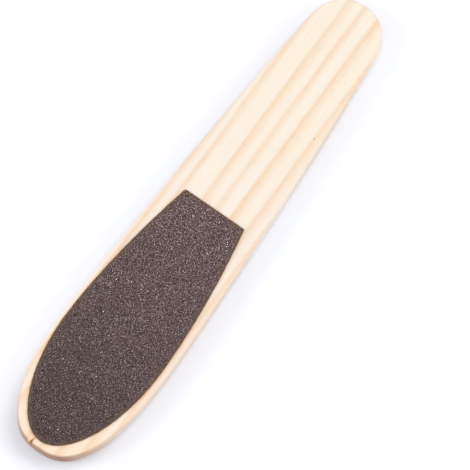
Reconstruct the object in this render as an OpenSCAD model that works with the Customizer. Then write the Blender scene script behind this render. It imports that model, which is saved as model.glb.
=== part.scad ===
// Two-sided foot file. A flat wooden paddle carries a coarse abrasive sheet on its front face
// and a finer one on its rear face. Each sheet is glue, paper backing and a coat of grit.
// Millimetres. X runs from the filing tip to the handle end, Z up out of the front face.
// The origin is at the middle of the length and the width, on the plane that the file lies on.

/* [Paddle] */
// Overall length of the wooden paddle
paddle_length = 250; // [190:1:320]
// Width of the paddle at its widest place
paddle_width = 54.4; // [46:0.2:70]
// Thickness of the board
paddle_thickness = 7; // [5:0.5:12]
// Distance from the tip to the widest place
widest_at = 62; // [50:1:80]
// Width that the taper reaches at the handle end
handle_width = 32.2; // [24:0.2:44]
// Length of the rounded end of the handle
handle_round = 20.5; // [14:0.5:34]
// Radius of the sanded edge round both faces
edge_radius = 1; // [0.5:0.1:2.4]

/* [Abrasive sheets] */
// Bare wood between the tip and each sheet
tip_border = 3.1; // [2.4:0.1:8]
// Bare wood beside each sheet at its widest place
side_border = 2.2; // [1.6:0.1:6]
// Length of each sheet
sheet_length = 131; // [100:0.5:160]
// Distance from the sheet's own tip to its widest place
sheet_widest_at = 54; // [40:1:70]
// Bare wood beside each sheet at its square-cut end
cut_border = 8.4; // [4:0.1:14]
// Radius of the corners at the square-cut end
corner_radius = 0.9; // [0.3:0.1:3]

/* [Placing of the sheets] */
// Turn of the front sheet about its own middle, in degrees
front_turn = -0.6; // [-0.8:0.1:0.8]
// Sideways slip of the front sheet from the centre line
front_slip = 0.3; // [-1:0.1:1]
// Turn of the rear sheet about its own middle, in degrees
rear_turn = 0.3; // [-0.8:0.1:0.8]
// Sideways slip of the rear sheet from the centre line
rear_slip = -0.4; // [-1:0.1:1]

/* [Layers] */
// Thickness of the glue under each backing
glue_thickness = 0.12; // [0.05:0.01:0.3]
// Thickness of the paper backing
backing_thickness = 0.38; // [0.2:0.01:0.8]
// Thickness of the coarse coat on the front
coarse_thickness = 0.35; // [0.2:0.01:0.6]
// Thickness of the fine coat on the rear
fine_thickness = 0.2; // [0.1:0.01:0.4]
// How far the glue stops short of the backing's edge
glue_margin = 0.6; // [0.3:0.1:2]
// How far the grit stops short of the backing's edge
grit_margin = 0.3; // [0.1:0.05:1]

/* [Hidden] */

// Fullness of the curves: 2 is an ellipse, more is squarer
tip_power = 2.54;
handle_end_power = 2.41;
sheet_tip_power = 1.95;
// Steepness of the flanks behind the widest place: 1 is straight, 2 a parabola
flank_power = 1.45;
sheet_flank_power = 1.79;

// Steps along a curve and round an edge
tip_steps = 22;
flank_steps = 18;
end_steps = 16;
edge_steps = 5;
corner_steps = 4;

// Heights, from the plane that the file lies on
rear_grit_z = 0;
rear_backing_z = rear_grit_z + fine_thickness;
rear_glue_z = rear_backing_z + backing_thickness;
paddle_z = rear_glue_z + glue_thickness;
front_glue_z = paddle_z + paddle_thickness;
front_backing_z = front_glue_z + glue_thickness;
front_grit_z = front_backing_z + backing_thickness;

tip_x = -paddle_length / 2;
sheet_width = paddle_width - 2 * side_border;
sheet_middle_x = tip_x + tip_border + sheet_length / 2;

// Share of the full half width left on a rounded end, t being 0 at its root and 1 at its tip
function round_share(t, power) = pow(max(0, 1 - pow(t, power)), 1 / power);

// Half width behind the widest place, k running from 0 there to 1 at the far end
function flank(wide, narrow, k, power) = wide - (wide - narrow) * pow(k, power);

// Paddle's half width at x, counted from the tip
function paddle_half(x) =
    let (k = max(0, x - widest_at) / (paddle_length - widest_at))
    let (body = flank(paddle_width / 2, handle_width / 2, k, flank_power))
    let (t = max(0, widest_at - x) / widest_at)
    let (s = max(0, x - paddle_length + handle_round) / handle_round)
    body * round_share(t, tip_power) * round_share(s, handle_end_power);

// Stations along the paddle, close together where the ends turn
paddle_stations = [
    for (i = [0 : tip_steps]) widest_at * (1 - cos(90 * i / tip_steps)),
    for (i = [1 : flank_steps]) widest_at + (paddle_length - handle_round - widest_at) * i / flank_steps,
    for (i = [1 : end_steps]) paddle_length - handle_round * (1 - sin(90 * i / end_steps))
];
last_station = len(paddle_stations) - 1;

// Right side from tip to handle end, then left side back again
paddle_outline = [
    for (x = paddle_stations) [x, -paddle_half(x)],
    for (i = [1 : last_station - 1])
        let (x = paddle_stations[last_station - i])
        [x, paddle_half(x)]
];
outline_count = len(paddle_outline);

// Half width of a sheet at its square-cut end
cut_half = paddle_half(tip_border + sheet_length) - cut_border;

// Unit vector into the outline at point i, square to the line between its two neighbours
function inward(points, i) =
    let (n = len(points))
    let (run = points[(i + 1) % n] - points[(i + n - 1) % n])
    [-run[1], run[0]] / norm(run);

// One ring of the paddle's skin, drawn in by inset at height z
function ring(inset, z) = [
    for (i = [0 : outline_count - 1])
        let (p = paddle_outline[i] + inset * inward(paddle_outline, i))
        [p[0] + tip_x, p[1], z + paddle_z]
];

// Rings from the rear face to the front face, round the two sanded edges
edge_rings = [
    for (j = [0 : edge_steps])
        let (a = 90 * j / edge_steps)
        [edge_radius * (1 - sin(a)), edge_radius * (1 - cos(a))],
    for (j = [0 : edge_steps])
        let (a = 90 * j / edge_steps)
        [edge_radius * (1 - cos(a)), paddle_thickness - edge_radius * (1 - sin(a))]
];
ring_count = len(edge_rings);

// Half width of a sheet drawn in by inset, at x from the drawn-in tip
function sheet_half(x, inset) =
    let (wide = sheet_width / 2 - inset)
    let (k = max(0, x + inset - sheet_widest_at) / (sheet_length - sheet_widest_at))
    let (t = max(0, sheet_widest_at - inset - x) / (sheet_widest_at - inset))
    flank(wide, cut_half - inset, k, sheet_flank_power) * round_share(t, sheet_tip_power);

// Stations along a drawn-in sheet, up to where the corners start
function sheet_stations(inset) =
    let (nose = sheet_widest_at - inset)
    let (straight = sheet_length - inset - corner_radius)
    [
        for (i = [0 : tip_steps]) nose * (1 - cos(90 * i / tip_steps)),
        for (i = [1 : flank_steps]) nose + (straight - inset - nose) * i / flank_steps
    ];

// One side of a drawn-in sheet from its tip round the corner to the cut, y positive
function sheet_side(inset) =
    let (stations = sheet_stations(inset))
    let (corner_x = stations[len(stations) - 1])
    let (corner_y = sheet_half(corner_x, inset) - corner_radius)
    [
        for (x = stations) [x + inset, sheet_half(x, inset)],
        for (i = [1 : corner_steps])
            let (a = 90 * i / corner_steps)
            [corner_x + inset + corner_radius * sin(a), corner_y + corner_radius * cos(a)]
    ];

// One layer of a sheet: inset from the backing's edge, turned and slipped as its sheet is
module sheet_layer(inset, z, thickness, turn, slip) {
    side = sheet_side(inset);
    last = len(side) - 1;
    outline = [
        for (p = side) [p[0], -p[1]],
        for (i = [0 : last - 1]) side[last - i]
    ];
    translate([sheet_middle_x, slip, z])
        rotate([0, 0, turn])
            translate([-sheet_length / 2, 0, 0])
                linear_extrude(height = thickness)
                    polygon(outline);
}

module wooden_paddle() {
    n = outline_count;
    points = [for (r = edge_rings) each ring(r[0], r[1])];
    walls = [
        for (j = [0 : ring_count - 2])
            for (i = [0 : n - 1])
                let (a = j * n + i)
                let (b = j * n + (i + 1) % n)
                each [[a, a + n, b], [b, a + n, b + n]]
    ];
    rear_face = [for (i = [0 : n - 1]) i];
    front_face = [for (i = [0 : n - 1]) ring_count * n - 1 - i];
    color("wheat")
        polyhedron(points = points, faces = concat([rear_face, front_face], walls));
}

module front_adhesive() {
    color("khaki")
        sheet_layer(glue_margin, front_glue_z, glue_thickness, front_turn, front_slip);
}

module front_backing() {
    color("saddlebrown")
        sheet_layer(0, front_backing_z, backing_thickness, front_turn, front_slip);
}

module front_grit_coat() {
    color("dimgray")
        sheet_layer(grit_margin, front_grit_z, coarse_thickness, front_turn, front_slip);
}

module rear_adhesive() {
    color("khaki")
        sheet_layer(glue_margin, rear_glue_z, glue_thickness, rear_turn, rear_slip);
}

module rear_backing() {
    color("saddlebrown")
        sheet_layer(0, rear_backing_z, backing_thickness, rear_turn, rear_slip);
}

module rear_grit_coat() {
    color("gray")
        sheet_layer(grit_margin, rear_grit_z, fine_thickness, rear_turn, rear_slip);
}

wooden_paddle();
front_adhesive();
front_backing();
front_grit_coat();
rear_adhesive();
rear_backing();
rear_grit_coat();
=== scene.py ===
"""Looks of a wooden foot file that carries a coarse abrasive sheet in front and a finer one behind.

Metres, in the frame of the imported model: X runs from the filing tip to the handle end, Z up out of the
front face, and the file lies on the plane z = 0. Every new piece is a surface that numpy works out on a
grid of two parameters, and each class says its formula in words. In the plans x is counted from the
tip, and in the meshes and the materials it is the model's own.
"""
import logging
import math
from dataclasses import dataclass, field, replace
from enum import Enum
from functools import cached_property, reduce

import bpy
import numpy as np
from mathutils import Matrix, Vector


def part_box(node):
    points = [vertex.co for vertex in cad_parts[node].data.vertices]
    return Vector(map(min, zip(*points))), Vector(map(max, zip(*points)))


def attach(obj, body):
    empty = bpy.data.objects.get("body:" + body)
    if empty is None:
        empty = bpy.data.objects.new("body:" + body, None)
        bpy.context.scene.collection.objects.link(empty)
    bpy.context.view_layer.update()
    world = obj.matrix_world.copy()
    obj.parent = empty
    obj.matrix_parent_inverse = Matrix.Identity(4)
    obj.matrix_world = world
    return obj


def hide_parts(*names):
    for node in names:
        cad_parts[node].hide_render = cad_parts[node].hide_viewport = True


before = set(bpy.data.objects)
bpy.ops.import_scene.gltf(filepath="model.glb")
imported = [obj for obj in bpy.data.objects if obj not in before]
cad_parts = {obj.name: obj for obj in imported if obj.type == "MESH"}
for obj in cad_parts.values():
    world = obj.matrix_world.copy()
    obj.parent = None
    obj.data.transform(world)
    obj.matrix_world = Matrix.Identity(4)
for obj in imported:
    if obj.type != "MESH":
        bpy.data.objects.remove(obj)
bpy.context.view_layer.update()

BODY = "root"
MM = 0.001
QUARTER = math.pi / 2

Array = np.ndarray
Colour = tuple[float, float, float]
Stops = tuple[tuple[float, Colour], ...]
Span = tuple[float, ...]
Socket = bpy.types.NodeSocket
Input = Socket | float | Colour

WHITE: Colour = (1.0, 1.0, 1.0)

log = logging.getLogger("foot_file")


def paint(red: int, green: int, blue: int) -> Colour:
    """Gives the linear colour of an sRGB screen colour of 0 to 255 in each channel."""
    share = np.array([red, green, blue]) / 255
    return tuple(np.where(share <= 0.04045, share / 12.92, ((share + 0.055) / 1.055) ** 2.4).tolist())


def mix(first: Array | float, second: Array | float, share: Array | float) -> Array:
    """Gives what lies a share of the way from the first value to the second."""
    return first + share * (second - first)


def eased(t: Array) -> Array:
    """Turns 0 to 1 into 0 to 1 with level ends: three times the square less twice the cube."""
    return t**2 * (3 - 2 * t)


def round_share(t: Array, power: float) -> Array:
    """Gives the share of the half width left on a rounded end: the root of 1 less t to the power."""
    return np.clip(1 - np.clip(t, 0, 1) ** power, 0, 1) ** (1 / power)


def inward(loop: Array) -> Array:
    """Gives unit vectors into a counterclockwise loop: the run past each point, turned left."""
    run = np.roll(loop, -1, axis=0) - np.roll(loop, 1, axis=0)
    return np.column_stack([-run[:, 1], run[:, 0]]) / np.linalg.norm(run, axis=1, keepdims=True)


def waves(along: Array, counts: tuple[int, ...], seed: int) -> Array:
    """Gives the mean of a few sines, each repeating its count of times as along goes from 0 to 1."""
    phases = np.random.default_rng(seed).uniform(0, 4 * QUARTER, len(counts))
    return np.sin(4 * QUARTER * np.outer(along, counts) + phases).mean(axis=1)


def along_loop(loop: Array) -> Array:
    """Gives each point's distance round a closed loop, as a share of the whole."""
    steps = np.linalg.norm(np.roll(loop, -1, axis=0) - loop, axis=1)
    return np.concatenate([[0], np.cumsum(steps)[:-1]]) / steps.sum()


def ring_quads(number: Array) -> Array:
    """Joins closed rings, each a row of vertex numbers, into quads of four numbers each."""
    after = np.roll(number, -1, axis=1)
    return np.stack([number[:-1], after[:-1], after[1:], number[1:]], axis=-1).reshape(-1, 4)


def squares(grid: Array) -> Array:
    """Gives the values at the four corners of each square of a grid, counterclockwise."""
    return np.stack([grid[:-1, :-1], grid[1:, :-1], grid[1:, 1:], grid[:-1, 1:]], axis=-1)


def rim_of(quads: Array) -> Array:
    """Puts the rim of a patch of quads into order, as one closed ring.

    An edge is on the rim where no quad uses it the other way round. Counting from the ring's last
    point, each point's number of steps is its own one step plus those of the point ahead, and the
    reach ahead is doubled until it spans the ring.

    Args:
        quads: The patch, with its quads all turned the same way.

    Returns:
        The rim's vertex numbers, counterclockwise as the quads are.
    """
    here, after = quads.ravel(), np.roll(quads, -1, axis=1).ravel()
    span = quads.max() + 1
    alone = ~np.isin(here * span + after, after * span + here)
    order = np.argsort(here[alone])
    here, after = here[alone][order], after[alone][order]
    ahead = np.searchsorted(here, after)
    last = ahead == 0
    steps = np.where(last, 0, 1)
    ahead = np.where(last, np.arange(len(here)), ahead)
    for _ in range(len(here).bit_length()):
        steps = steps + steps[ahead]
        ahead = ahead[ahead]
    return here[np.argsort(-steps)]


def eased_round(values: Array, rounds: int = 3, axis: int = 0) -> Array:
    """Smooths values round a closed ring.

    Args:
        values: The values.
        rounds: How many times each becomes a quarter of each neighbour and half of itself.
        axis: The axis that the ring runs along.

    Returns:
        The smoothed values.
    """
    for _ in range(rounds):
        values = (np.roll(values, 1, axis) + 2 * values + np.roll(values, -1, axis)) / 4
    return values


@dataclass(frozen=True)
class Skin:
    """A closed surface in the making.

    Attributes:
        points: One row of x, y and z for each vertex.
        faces: Arrays of vertex numbers, a row for each face, with as many corners all through an array.
        on_points: Values by name, one for each vertex.
        on_faces: Values by name, one for each face, in the order of faces.
        maps: For each array of faces the places of its corners on the piece's own map, or nothing.
    """

    points: Array
    faces: list[Array]
    on_points: dict[str, Array] = field(default_factory=dict)
    on_faces: dict[str, Array] = field(default_factory=dict)
    maps: list[Array] = field(default_factory=list)

    def corners(self) -> Array:
        """Gives the vertex numbers of all faces in one row."""
        return np.concatenate([rows.ravel() for rows in self.faces])

    def compacted(self) -> "Skin":
        """Leaves out the vertices that no face uses.

        Returns:
            The same surface with fewer points.
        """
        used = np.unique(self.corners())
        faces = [np.searchsorted(used, rows) for rows in self.faces]
        on_points = {name: values[used] for name, values in self.on_points.items()}
        return replace(self, points=self.points[used], faces=faces, on_points=on_points)

    def turned_over(self) -> "Skin":
        """Mirrors the surface top to bottom and turns its faces round, so that they still point out."""
        faces, maps = ([rows[:, ::-1] for rows in group] for group in (self.faces, self.maps))
        return replace(self, points=self.points * [1, 1, -1], faces=faces, maps=maps)

    def make(self, name: str, finish: bpy.types.Material, smooth_below: float | None) -> bpy.types.Object:
        """Puts the surface into a new object at the origin.

        Args:
            name: The piece's name.
            finish: Its material.
            smooth_below: Angle in degrees under which neighbouring faces are shaded as one, or None
                for faces that all keep their own flat shade.

        Returns:
            The object, linked to the scene.
        """
        corners = self.corners()
        counts = np.concatenate([np.full(len(rows), rows.shape[1]) for rows in self.faces])
        mesh = bpy.data.meshes.new(name)
        mesh.vertices.add(len(self.points))
        mesh.vertices.foreach_set("co", self.points.astype(np.float32).ravel())
        mesh.loops.add(len(corners))
        mesh.loops.foreach_set("vertex_index", corners.astype(np.int32))
        mesh.polygons.add(len(counts))
        mesh.polygons.foreach_set("loop_start", (np.cumsum(counts) - counts).astype(np.int32))
        mesh.update(calc_edges=True)
        if smooth_below is None:
            mesh.shade_flat()
        else:
            mesh.set_sharp_from_angle(angle=math.radians(smooth_below))
        for domain, by_name in (("POINT", self.on_points), ("FACE", self.on_faces)):
            for label, values in by_name.items():
                layer = mesh.attributes.new(label, "FLOAT", domain)
                layer.data.foreach_set("value", values.astype(np.float32))
        if self.maps:
            flat = np.concatenate([rows.ravel() for rows in self.maps]).astype(np.float32)
            mesh.uv_layers.new(name="OFBake").uv.foreach_set("vector", flat)
        mesh.materials.append(finish)
        piece = bpy.data.objects.new(name, mesh)
        bpy.context.scene.collection.objects.link(piece)
        return piece


@dataclass(frozen=True)
class Noise:
    """A smooth noise about 0.5, from 0 to 1, read at the point in the model's frame.

    Attributes:
        size: Length of its features along x, y and z, in millimetres.
        detail: Number of finer layers.
        roughness: Strength of the finer layers.
        start: Where it is read from, in features, so that two noises differ.
    """

    size: tuple[float, float, float]
    detail: float = 2
    roughness: float = 0.5
    start: tuple[float, float, float] = (0, 0, 0)


class Recipe:
    """A material's node tree, written a node at a time. A Span is what step takes after its value."""

    def __init__(self, name: str) -> None:
        """Starts a material of this name with a bare shader."""
        self.material = bpy.data.materials.new(name)
        self.material.use_nodes = True
        self.tree = self.material.node_tree
        self.tree.nodes.clear()
        self.shader = self.node("BsdfPrincipled", {})
        self.node("OutputMaterial", {"Surface": self.shader.outputs[0]})

    def feed(self, socket: Socket, value: Input) -> None:
        """Links an output to a socket, or sets the socket to a number or a colour.

        Args:
            socket: The socket.
            value: The output, number or colour.
        """
        if isinstance(value, Socket):
            self.tree.links.new(value, socket)
        else:
            socket.default_value = (*value, 1) if socket.type == "RGBA" else value

    def node(self, kind: str, feeds: dict[str | int, Input], **settings: str) -> bpy.types.Node:
        """Adds a node.

        Args:
            kind: Its type, less the word ShaderNode.
            feeds: What its inputs are fed, by their names or numbers.
            **settings: Its own settings.

        Returns:
            The node.
        """
        node = self.tree.nodes.new(f"ShaderNode{kind}")
        for label, setting in settings.items():
            setattr(node, label, setting)
        for label, value in feeds.items():
            self.feed(node.inputs[label], value)
        return node

    def surface(self, **sockets: Input) -> None:
        """Sets the shader's sockets by name, with underscores for spaces."""
        for label, value in sockets.items():
            self.feed(self.shader.inputs[label.replace("_", " ")], value)

    @cached_property
    def place(self) -> Socket:
        """Gives the point in the model's frame."""
        return self.node("TexCoord", {}).outputs["Object"]

    @cached_property
    def parts(self) -> tuple[Socket, ...]:
        """Gives the point's x, y and z."""
        return tuple(self.node("SeparateXYZ", {0: self.place}).outputs)

    def noise(self, noise: Noise) -> Socket:
        """Reads a noise.

        Args:
            noise: What the noise is like.

        Returns:
            Its value.
        """
        scale = tuple(1 / (length * MM) for length in noise.size)
        where = self.node("Mapping", {"Vector": self.place, "Location": noise.start, "Scale": scale})
        feeds = {"Vector": where.outputs[0], "Scale": 1, "Detail": noise.detail}
        return self.node("TexNoise", feeds | {"Roughness": noise.roughness}).outputs[0]

    def maths(self, operation: str, first: Input, second: Input) -> Socket:
        """Works out one of Blender's maths operations on two values."""
        return self.node("Math", {0: first, 1: second}, operation=operation).outputs[0]

    def times(self, first: Input, second: Input) -> Socket:
        """Multiplies two values."""
        return self.maths("MULTIPLY", first, second)

    def sum(self, *values: Input) -> Socket:
        """Adds up values."""
        return reduce(lambda total, value: self.maths("ADD", total, value), values)

    def centred(self, noise: Noise, reach: float) -> Socket:
        """Gives a noise that goes half of its reach to both sides of 0."""
        return self.times(self.maths("SUBTRACT", self.noise(noise), 0.5), reach)

    def step(self, value: Input, low: float, high: float, to_low: float = 0, to_high: float = 1) -> Socket:
        """Turns a value smoothly from to_low at low to to_high at high, and holds it beyond them."""
        feeds = dict(enumerate((value, low, high, to_low, to_high)))
        return self.node("MapRange", feeds, interpolation_type="SMOOTHSTEP").outputs[0]

    def ramp(self, value: Input, stops: Stops, easing: str = "LINEAR") -> Socket:
        """Turns a value of 0 to 1 into a colour.

        Args:
            value: The value.
            stops: Places and colours, in rising order.
            easing: How the colours run from stop to stop.

        Returns:
            The colour.
        """
        node = self.node("ValToRGB", {0: value})
        node.color_ramp.interpolation = easing
        elements = node.color_ramp.elements
        while len(elements) < len(stops):
            elements.new(1)
        for element, (at, colour) in zip(elements, stops):
            element.position = at
            element.color = (*colour, 1)
        return node.outputs[0]

    def blend(self, share: Input, first: Input, second: Input, mode: str = "MIX") -> Socket:
        """Mixes a share of a second colour into a first one."""
        feeds = {0: share, 6: first, 7: second}
        return self.node("Mix", feeds, data_type="RGBA", blend_type=mode).outputs[2]

    def tinted(self, colour: Input, tone: Input, share: Input = 1.0) -> Socket:
        """Multiplies a share of a colour by a tone."""
        return self.blend(share, colour, tone, "MULTIPLY")

    def mottled(self, colour: Input, value: Socket, stops: Stops) -> Socket:
        """Multiplies a colour by a tone that depends on a value."""
        return self.tinted(colour, self.ramp(value, stops))

    def value_of(self, name: str) -> Socket:
        """Reads one of the mesh's own named values."""
        return self.node("Attribute", {}, attribute_name=name).outputs["Fac"]

    def relief(self, height: Input, depth: float, over: Socket | None = None) -> Socket:
        """Turns a height of 0 to 1, times a depth, into a normal, laid over an earlier one or none."""
        below = {} if over is None else {"Normal": over}
        return self.node("Bump", {"Strength": 1, "Distance": depth, "Height": height} | below).outputs[0]


@dataclass(frozen=True)
class GrowthRing:
    """One growth ring where it meets the front face.

    Attributes:
        dark_at: Where its late wood is darkest, across the board.
        fade: How far its late wood fades out, towards the board's right side.
        depth: How dark it is, from 0 to 1.
    """

    dark_at: float
    fade: float
    depth: float


@dataclass(frozen=True)
class Stretch:
    """A stretch of the board with a tone of its own.

    Attributes:
        tone: What the wood's colour is multiplied by.
        start: From the board's tip to where the tone sets in.
        full: From the tip to where it is full.
    """

    tone: Colour
    start: float
    full: float

    def share(self, r: Recipe, tip_x: float) -> Socket:
        """Gives how much of the tone there is along the board."""
        return r.step(r.parts[0], tip_x + self.start, tip_x + self.full)


@dataclass(frozen=True)
class Stain:
    """A soft-edged oval of resin in the front face.

    Attributes:
        colour: Its colour.
        size: Its half length and half width.
        soft: Share of its size over which it fades out.
        fade: Depth at which it has faded out, and depth down to which it is full.
        strength: Share of its colour at its middle.
    """

    colour: Colour
    size: tuple[float, float]
    soft: float
    fade: tuple[float, float]
    strength: float

    def laid_on(self, r: Recipe, colour: Socket, sunk: Socket, at: tuple[float, float]) -> Socket:
        """Lays the stain on the wood.

        Args:
            r: The material in the making.
            colour: The wood's colour.
            sunk: Depth under the front face.
            at: Its middle.

        Returns:
            The stained colour.
        """
        oval = {"Vector": r.place, "Location": (*at, 0), "Scale": (*self.size, 1)}
        away = r.node("Mapping", oval, vector_type="TEXTURE").outputs[0]
        flat = r.node("VectorMath", {0: away, 1: (1, 1, 0)}, operation="MULTIPLY").outputs[0]
        length = r.node("VectorMath", {0: flat}, operation="LENGTH").outputs["Value"]
        inside = r.step(length, 1 + self.soft, 1 - self.soft)
        strength = r.step(sunk, *self.fade, 0, self.strength)
        return r.blend(r.times(inside, strength), colour, self.colour)


@dataclass(frozen=True)
class SoftwoodFinish:
    """Bare sanded softwood, with growth rings that lean through the board and run along it.

    A tone is what the wood's colour is multiplied by.

    Attributes:
        early, cream: Colours of the pale early wood and of patches in it.
        late, pink: Colours of the late wood and of patches in it.
        canal, split_wood_and_shade: Colours of the resin canals and of the inside of the split, the last
            partly torn wood and partly painted shade in the split and its hair-thin groove.
        streak, hair: Tones of the streaks and single fibres, from the darkest.
        flank, end: Painted shade on the sanded sides, a cool grey tone, and the tone where the fibres end,
            partly the darker end grain and partly painted shade.
        broad, handle, tip: Stretches of the board with tones of their own.
        split_stain, speck: The resin beside the split, and the dark speck on the handle.
        stain_off: From the split's mouth to the middle of that resin.
        rings: The growth rings.
        lean: How far the rings shift across the board for each unit of depth under the front face.
        sharp: How far a ring's late wood takes to turn pale again on its outer side.
        bend: Share of a ring's fade at which the fade bends, and share of its darkness there.
        reach: Half of the span across the board that the rings are laid out on.
        splay: How far the rings on the left spread out towards the tip.
        splay_along: From the tip to where that starts and is full.
        splay_across: Where it starts and is full, across the board.
        swaying, wavering: Slow and quick waviness of the rings, and how far each goes.
        uneven, varied: Where the late wood is weaker and stronger, and what it is multiplied by there.
        tip_varied: What it is multiplied by as the tip's tone sets in.
        streaks, fibres, canals: Streaks, single fibres and resin canals along the grain.
        canal_span: Which of the last noise is a canal.
        canal_shown: Share of its colour that shows in early wood, and how much more in late wood.
        patches, creamy, pinkish: Patches of another hue, and their shares of cream and of pink.
        scuffs, scuff_depth: Marks of the sanding, across the board, and their depth.
        grain_depth, grain_mix: Depth of the grain, and what streaks, fibres and canals add to it.
        dullness: Roughness where the streaks are lowest, and how much more where they are highest.
    """

    early: Colour = paint(229, 219, 208)
    cream: Colour = paint(230, 218, 202)
    late: Colour = paint(225, 200, 169)
    pink: Colour = paint(225, 198, 174)
    canal: Colour = paint(176, 132, 92)
    split_wood_and_shade: Colour = paint(182, 136, 90)
    streak: Stops = ((0.25, (0.965, 0.945, 0.92)), (0.55, WHITE))
    hair: Stops = ((0.3, (0.965, 0.95, 0.93)), (0.55, WHITE))
    # flank is painted shade on the side walls; end is the end grain's darker tone with painted shade laid
    # on it.
    flank: Colour = (0.94, 0.935, 0.965)
    end: Colour = (0.49, 0.365, 0.35)
    broad: Stretch = Stretch((1.06, 1.03, 1.01), start=120 * MM, full=50 * MM)
    handle: Stretch = Stretch((0.993, 0.987, 0.955), start=135 * MM, full=180 * MM)
    tip: Stretch = Stretch((1.0, 0.92, 0.84), start=42 * MM, full=1 * MM)
    split_stain: Stain = Stain(
        paint(234, 196, 154), (1.7 * MM, 1.2 * MM), soft=0.6, fade=(4.5 * MM, 0.5 * MM), strength=0.65
    )
    stain_off: tuple[float, float] = (1.2 * MM, 0.8 * MM)
    speck: Stain = Stain(
        paint(120, 90, 72), (0.5 * MM, 0.3 * MM), soft=0.4, fade=(2.5 * MM, 1 * MM), strength=0.6
    )
    rings: tuple[GrowthRing, ...] = (
        GrowthRing(-24.1 * MM, 4.4 * MM, 0.9),
        GrowthRing(-17.6 * MM, 4.6 * MM, 0.85),
        GrowthRing(-8.5 * MM, 4.2 * MM, 1.0),
        GrowthRing(-0.7 * MM, 3.0 * MM, 0.85),
        GrowthRing(6.8 * MM, 4.0 * MM, 0.95),
        GrowthRing(17.6 * MM, 2.8 * MM, 0.78),
        GrowthRing(22.7 * MM, 2.6 * MM, 1.0),
    )
    lean: float = 0.55
    sharp: float = 1.9 * MM
    bend: tuple[float, float] = (0.35, 0.55)
    reach: float = 36 * MM
    splay: float = 2.0 * MM
    splay_along: tuple[float, float] = (165 * MM, 25 * MM)
    splay_across: tuple[float, float] = (8 * MM, 24 * MM)
    swaying: tuple[Noise, float] = (Noise((90, 16, 16), detail=1), 1.4 * MM)
    wavering: tuple[Noise, float] = (Noise((14, 2.2, 2.2), detail=1, start=(3, 7, 1)), 0.7 * MM)
    uneven: Noise = Noise((55, 9, 9), start=(11, 2, 5))
    varied: Span = (0.3, 0.7, 0.75, 1.15)
    tip_varied: Span = (0.6, 1, 1, 0.75)
    streaks: Noise = Noise((20, 0.42, 0.42), detail=3, roughness=0.6)
    fibres: Noise = Noise((5, 0.14, 0.14), start=(5, 1, 9))
    canals: Noise = Noise((4.5, 0.12, 0.12), detail=0, start=(8, 3, 6))
    canal_span: Span = (0.76, 0.82)
    canal_shown: tuple[float, float] = (0.12, 0.4)
    patches: Noise = Noise((38, 9, 9), start=(1, 4, 2))
    creamy: Span = (0.45, 0.68, 0, 0.75)
    pinkish: Span = (0.35, 0.6)
    scuffs: Noise = Noise((0.22, 2.4, 0.5), start=(2, 9, 4))
    scuff_depth: float = 0.012 * MM
    grain_depth: float = 0.05 * MM
    grain_mix: tuple[float, float, float] = (0.6, 0.5, -0.6)
    dullness: tuple[float, float] = (0.5, 0.2)

    def ring_stops(self) -> Stops:
        """Lays the rings out from 0 to 1.

        Returns:
            Stops at which each ring rises over its fade to its dark core and falls sharply behind it.
        """
        stops = []
        for ring in self.rings:
            bend = (-self.bend[0] * ring.fade, self.bend[1])
            for off, level in ((-ring.fade, 0), bend, (0, 1), (self.sharp, 0)):
                at = (ring.dark_at + off + self.reach) / (2 * self.reach)
                stops.append((at, (level * ring.depth,) * 3))
        return tuple(stops)

    def late_share(self, r: Recipe, sunk: Socket, tip_x: float) -> Socket:
        """Works out how much late wood there is.

        A ring keeps its place across the board, apart from its lean with the depth, its sway and waver
        along the board and its spread towards the left of the tip.

        Args:
            r: The material in the making.
            sunk: Depth under the front face.
            tip_x: Place of the board's tip.

        Returns:
            The share of late wood, from 0 to a little over 1.
        """
        x, y, _ = r.parts
        start, full = (tip_x + at for at in self.splay_along)
        spread = r.times(r.times(r.step(x, start, full), r.step(y, *self.splay_across)), -self.splay)
        sway, waver = r.centred(*self.swaying), r.centred(*self.wavering)
        across = r.sum(y, r.times(sunk, self.lean), sway, spread, waver)
        laid_out = r.times(r.sum(across, self.reach), 1 / (2 * self.reach))
        share = r.ramp(laid_out, self.ring_stops(), "EASE")
        share = r.times(share, r.step(r.noise(self.uneven), *self.varied))
        return r.times(share, r.step(self.tip.share(r, tip_x), *self.tip_varied))

    def make(self, board: "WoodenPaddle") -> bpy.types.Material:
        """Writes the material.

        Args:
            board: The board that it is for.

        Returns:
            The material.
        """
        r = Recipe("sanded_softwood")
        tip_x = board.plan.tip_x
        sunk = r.maths("SUBTRACT", board.front_z, r.parts[2])
        late_share = self.late_share(r, sunk, tip_x)
        streaks, fibres, patches = (r.noise(noise) for noise in (self.streaks, self.fibres, self.patches))
        canals = r.step(r.noise(self.canals), *self.canal_span)

        early = r.blend(r.step(patches, *self.creamy), self.early, self.cream)
        late = r.blend(r.step(patches, *self.pinkish), self.late, self.pink)
        colour = r.blend(r.maths("MINIMUM", late_share, 1.0), early, late)
        colour = r.mottled(colour, streaks, self.streak)
        colour = r.mottled(colour, fibres, self.hair)
        shown = r.sum(self.canal_shown[0], r.times(late_share, self.canal_shown[1]))
        colour = r.blend(r.times(canals, shown), colour, self.canal)
        for stretch in (self.broad, self.handle, self.tip):
            colour = r.tinted(colour, stretch.tone, stretch.share(r, tip_x))
        # Painted shade on the walls, darkest where they face along the board.
        colour = r.tinted(colour, self.flank, r.value_of("flank_shade_share"))
        colour = r.tinted(colour, self.end, r.value_of("end_grain_and_shade_share"))
        beside = (tip_x + self.stain_off[0], board.split_y + self.stain_off[1])
        colour = self.split_stain.laid_on(r, colour, sunk, beside)
        # The split and its hairline take the colour of torn wood with painted shade in them.
        colour = r.blend(r.value_of("split_torn_and_shade_share"), colour, self.split_wood_and_shade)
        colour = self.speck.laid_on(r, colour, sunk, board.speck_at)

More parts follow.
